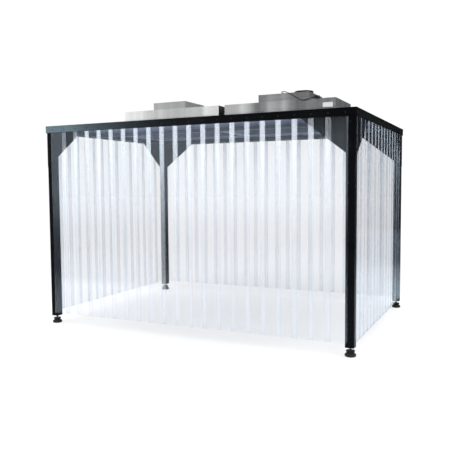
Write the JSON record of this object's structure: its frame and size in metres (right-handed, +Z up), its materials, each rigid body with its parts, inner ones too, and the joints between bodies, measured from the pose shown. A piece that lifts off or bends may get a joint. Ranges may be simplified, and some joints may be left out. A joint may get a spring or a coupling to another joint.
{
  "type": "softwall clean room booth",
  "caption": "Walk-in clean booth: black steel frame on levelling feet, clear strip curtains on all sides, two fan filter units on the roof.",
  "frame": {"origin": "on the floor under the middle of the booth", "axes": "+Z up, front (the wide side with the lead over its right-hand unit) towards -Y, +X to the right seen from the front"},
  "size_m": [3.34, 2.38, 2.447],
  "materials": {
    "frame_paint": "satin black powder coat",
    "black_fasteners": "black oxide",
    "foot_nylon": "matt black moulding",
    "zinc_nuts": "zinc plated",
    "stud_bar_steel": "satin black",
    "clear_strip": "clear, glossy, faint blue edge",
    "ceiling_paint": "satin blue-grey",
    "unit_steel": "brushed stainless sheet",
    "inlet_steel": "spun steel",
    "impeller_alloy": "mill finish",
    "motor_alloy": "cast, dark",
    "grid_paint": "white powder coat",
    "prefilter_pad": "grey non-woven pad in a frame",
    "filter_media": "white pleated paper",
    "lead_rubber": "matt black",
    "plug_plastic": "moulded black"
  },
  "bodies": {
    "frame": {"beam_front": "frame_paint", "beam_left": "frame_paint", "beam_rear": "frame_paint", "beam_right": "frame_paint", "ceiling_panel_front": "ceiling_paint", "ceiling_panel_left": "ceiling_paint", "ceiling_panel_rear": "ceiling_paint", "ceiling_panel_right": "ceiling_paint", "foot_lock_nuts": "zinc_nuts", "gusset_bolts": "black_fasteners", "gusset_front_left": "frame_paint", "gusset_front_right": "frame_paint", "gusset_left_front": "frame_paint", "gusset_left_rear": "frame_paint", "gusset_rear_left": "frame_paint", "gusset_rear_right": "frame_paint", "gusset_right_front": "frame_paint", "gusset_right_rear": "frame_paint", "lead_coil": "lead_rubber", "lead_plug": "plug_plastic", "left_fan_box": "unit_steel", "left_filter": "filter_media", "left_filter_case": "unit_steel", "left_inlet_ring": "inlet_steel", "left_motor": "motor_alloy", "left_outlet_grid": "grid_paint", "left_plenum": "unit_steel", "left_prefilter": "prefilter_pad", "post_front_left": "frame_paint", "post_front_right": "frame_paint", "post_rear_left": "frame_paint", "post_rear_right": "frame_paint", "power_gland": "plug_plastic", "power_lead": "lead_rubber", "right_fan_box": "unit_steel", "right_filter": "filter_media", "right_filter_case": "unit_steel", "right_inlet_ring": "inlet_steel", "right_motor": "motor_alloy", "right_outlet_grid": "grid_paint", "right_plenum": "unit_steel", "right_prefilter": "prefilter_pad", "roof_crossbars": "frame_paint", "roof_rail_front": "frame_paint", "roof_rail_rear": "frame_paint", "strip_cap_nuts": "black_fasteners", "strips_front": "clear_strip", "strips_left": "clear_strip", "strips_rear": "clear_strip", "strips_right": "clear_strip", "stud_bar_front": "stud_bar_steel", "stud_bar_left": "stud_bar_steel", "stud_bar_rear": "stud_bar_steel", "stud_bar_right": "stud_bar_steel"},
    "foot_front_left": {"foot_front_left": "foot_nylon"},
    "foot_front_right": {"foot_front_right": "foot_nylon"},
    "foot_rear_left": {"foot_rear_left": "foot_nylon"},
    "foot_rear_right": {"foot_rear_right": "foot_nylon"},
    "left_fan": {"left_impeller": "impeller_alloy"},
    "right_fan": {"right_impeller": "impeller_alloy"}
  },
  "joints": [
    {"name": "foot_front_left_height", "type": "slide", "parent": "frame", "child": "foot_front_left", "axis": [0, 0, 1], "range_m": [-0.015, 0.01]},
    {"name": "foot_front_right_height", "type": "slide", "parent": "frame", "child": "foot_front_right", "axis": [0, 0, 1], "range_m": [-0.015, 0.01]},
    {"name": "foot_rear_left_height", "type": "slide", "parent": "frame", "child": "foot_rear_left", "axis": [0, 0, 1], "range_m": [-0.015, 0.01]},
    {"name": "foot_rear_right_height", "type": "slide", "parent": "frame", "child": "foot_rear_right", "axis": [0, 0, 1], "range_m": [-0.015, 0.01]},
    {"name": "left_fan_spin", "type": "hinge", "parent": "frame", "child": "left_fan", "pos_m": [-0.655, -0.0775, 2.35], "axis": [0, 0, 1], "continuous": true},
    {"name": "right_fan_spin", "type": "hinge", "parent": "frame", "child": "right_fan", "pos_m": [0.635, -0.0775, 2.35], "axis": [0, 0, 1], "continuous": true}
  ]
}
